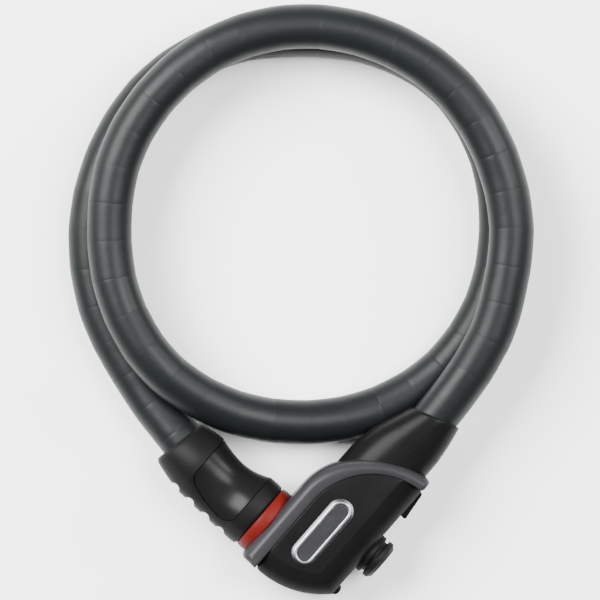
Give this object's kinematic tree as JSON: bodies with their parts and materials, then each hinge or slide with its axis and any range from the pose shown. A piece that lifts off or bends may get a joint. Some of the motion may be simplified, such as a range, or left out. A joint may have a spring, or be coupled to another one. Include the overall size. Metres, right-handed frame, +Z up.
{
  "type": "cable lock",
  "caption": "Keyed cable lock: an armoured cable coiled from a flat lock body to a push-in plug, with a hinged cover over the keyhole and a round bracket stud.",
  "frame": {"origin": "on the flat rear face that the lock lies on, below the crossing of the plug's axis and the cable sleeve's axis", "axes": "+X from the plug's axis toward the cable sleeve, +Y along the plug's axis the way the plug comes out, +Z up out of the badge face"},
  "size_m": [0.2299, 0.2284, 0.041],
  "materials": {
    "hard_black": "satin moulded plastic",
    "gloss_black": "glossy moulded plastic",
    "soft_black": "matte soft overmould",
    "band_grey": "satin moulded plastic",
    "slate_vinyl": "satin vinyl skin",
    "seal_red": "satin",
    "silver": "polished",
    "plate_grey": "satin",
    "steel": "turned and ground",
    "brass": "turned"
  },
  "bodies": {
    "lock_body": {"front_cover": "hard_black", "rear_cover": "hard_black", "trim_band": "band_grey", "badge_bezel": "silver", "badge_plate": "plate_grey", "cover_screws": "steel", "lock_case": "steel", "case_plate": "steel", "socket_bush": "steel", "cylinder_sleeve": "brass", "latch_spring": "steel", "dust_cover_pin": "steel", "bracket_stud": "hard_black", "stud_screw": "steel", "cable_boot": "hard_black", "cable_ferrule": "steel", "anchor_pin": "steel", "cable_skin": "slate_vinyl", "armour_shells": "steel", "wire_core": "steel"},
    "plug_end": {"plug_bolt": "steel", "grip_core": "gloss_black", "grip_overmould": "soft_black", "seal_ring": "seal_red", "bolt_pin": "steel"},
    "key_core": {"cylinder_core": "brass", "detainer_discs": "brass", "disc_spacers": "steel", "sidebar": "steel", "drive_cam": "steel"},
    "latch": {"latch": "steel"},
    "dust_cover": {"dust_cover": "hard_black"}
  },
  "joints": [
    {"name": "plug_slide", "type": "slide", "parent": "lock_body", "child": "plug_end", "axis": [0, 1, 0], "range_m": [0, 0.035], "deforming": ["cable_skin", "armour_shells", "wire_core"]},
    {"name": "key_turn", "type": "hinge", "parent": "lock_body", "child": "key_core", "pos_m": [0.0075, -0.0045, 0.019], "axis": [1, 0, 0], "range_deg": [0, 90]},
    {"name": "latch_lift", "type": "slide", "parent": "lock_body", "child": "latch", "axis": [0, 0, 1], "range_m": [0, 0.003], "deforming": ["latch_spring"]},
    {"name": "dust_cover_swing", "type": "hinge", "parent": "lock_body", "child": "dust_cover", "pos_m": [-0.01652, 0.012, 0.019], "axis": [0, 0, -1], "range_deg": [0, 90]}
  ],
  "couplings": [
    {"joint": "latch_lift", "follows": "key_turn", "m_per_rad": 0.0019098}
  ]
}
